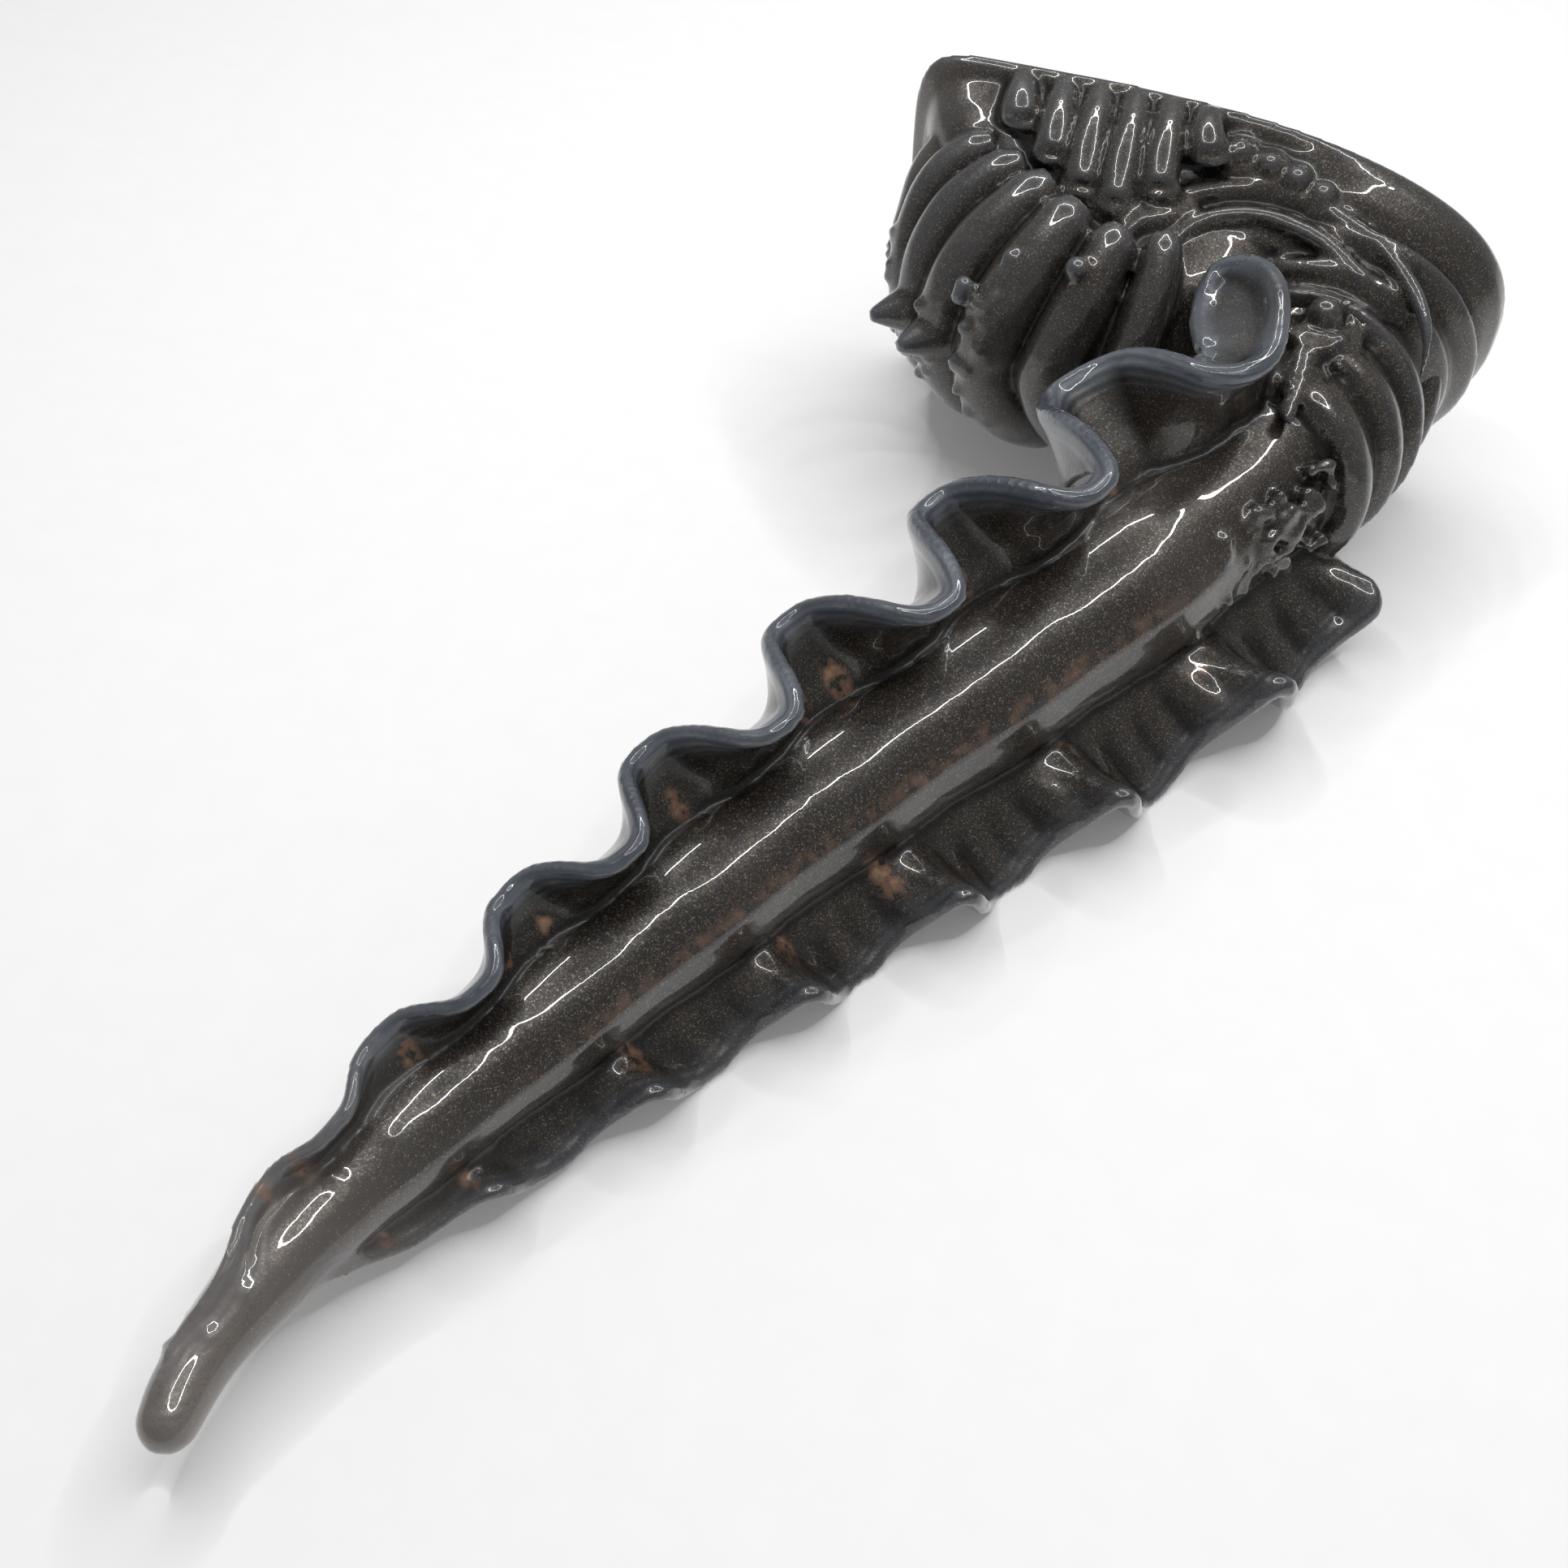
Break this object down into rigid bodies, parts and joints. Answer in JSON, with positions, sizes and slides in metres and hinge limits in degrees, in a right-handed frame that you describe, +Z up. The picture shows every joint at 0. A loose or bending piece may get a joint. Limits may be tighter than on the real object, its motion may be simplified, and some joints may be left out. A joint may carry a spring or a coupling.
{
  "type": "tentacle figure",
  "caption": "Soft glossy casting of a tapering, curling tentacle with two ruffled fins, rising from a ribbed body on a flat foot.",
  "frame": {"origin": "centre of the bounding box in plan, at table height, with the casting lying on its side", "axes": "+Z up from the table, +Y out of the flat foot's face, the tentacle running towards -Y and curling towards -X"},
  "size_m": [0.1206, 0.233, 0.061],
  "materials": {
    "shaft_rubber": "glossy, translucent, fine gold glitter",
    "fin_rubber": "glossy, translucent, milky blue-grey at the thin rims",
    "body_rubber": "glossy, dark",
    "foot_rubber": "glossy",
    "rib_rubber": "glossy"
  },
  "bodies": {
    "root": {"foot": "foot_rubber", "skirt": "foot_rubber", "shell_body": "body_rubber", "collar_1": "shaft_rubber", "collar_2": "shaft_rubber", "collar_3": "shaft_rubber", "collar_4": "shaft_rubber", "root_swell": "foot_rubber", "tentacle": "shaft_rubber", "fin_upper": "fin_rubber", "fin_scroll": "fin_rubber", "fin_lower": "fin_rubber", "hoop_1": "rib_rubber", "hoop_2": "rib_rubber", "hoop_3": "rib_rubber", "hoop_4": "rib_rubber", "hoop_5": "rib_rubber", "hoop_6": "rib_rubber", "hoop_7": "rib_rubber", "hoop_8": "rib_rubber", "spine_1": "rib_rubber", "spine_2": "rib_rubber", "spine_3": "rib_rubber", "left_rib_1": "rib_rubber", "left_rib_2": "rib_rubber", "left_rib_3": "rib_rubber", "left_rib_4": "rib_rubber", "left_rib_5": "rib_rubber", "left_rib_6": "rib_rubber", "left_stud_1": "rib_rubber", "left_stud_2": "rib_rubber", "left_stud_3": "rib_rubber", "left_stud_4": "rib_rubber", "right_rib_1": "rib_rubber", "right_rib_2": "rib_rubber", "right_rib_3": "rib_rubber", "right_rib_4": "rib_rubber", "right_rib_5": "rib_rubber", "right_rib_6": "rib_rubber", "right_stud_1": "rib_rubber", "right_stud_2": "rib_rubber", "right_stud_3": "rib_rubber"}
  },
  "joints": []
}
